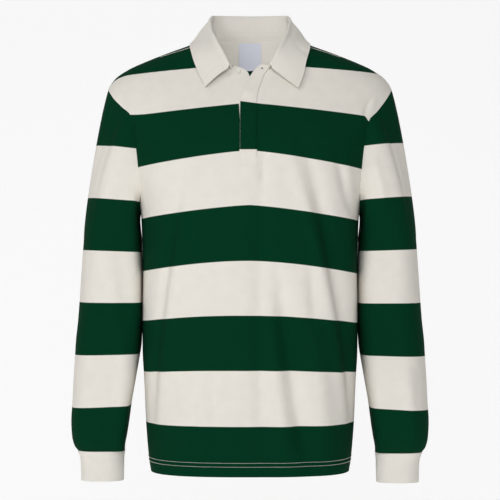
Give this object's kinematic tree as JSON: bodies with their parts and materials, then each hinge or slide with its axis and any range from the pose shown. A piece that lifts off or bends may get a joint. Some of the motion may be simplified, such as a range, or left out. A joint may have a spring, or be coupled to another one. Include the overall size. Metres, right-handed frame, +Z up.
{
  "type": "rugby shirt",
  "caption": "Long-sleeved striped rugby shirt, filled out as on a wearer, with a folded collar, a short placket, open hem and ribbed cuffs.",
  "frame": {"origin": "centre of the neck opening, at the height of the shoulder points beside the collar, where a wearer's shoulders hold the shirt", "axes": "+Z up from the hem to the collar, +X to the wearer's left, -Y out of the chest"},
  "size_m": [0.624, 0.2917, 0.8195],
  "materials": {
    "front_jersey": "matte",
    "back_jersey": "matte",
    "sleeve_jersey": "matte",
    "cuff_rib": "matte",
    "collar_twill": "matte",
    "facing_twill": "matte",
    "label_satin": "matte",
    "placket_jersey": "matte",
    "placket_twill": "matte",
    "button_rubber": "matte"
  },
  "bodies": {
    "root": {"front": "front_jersey", "back": "back_jersey", "sleeve_left": "sleeve_jersey", "sleeve_right": "sleeve_jersey", "cuff_left": "cuff_rib", "cuff_right": "cuff_rib", "collar": "collar_twill", "half_moon": "facing_twill", "neck_label": "label_satin", "placket_over": "placket_jersey", "placket_under": "placket_twill", "button_top": "button_rubber"}
  },
  "joints": []
}
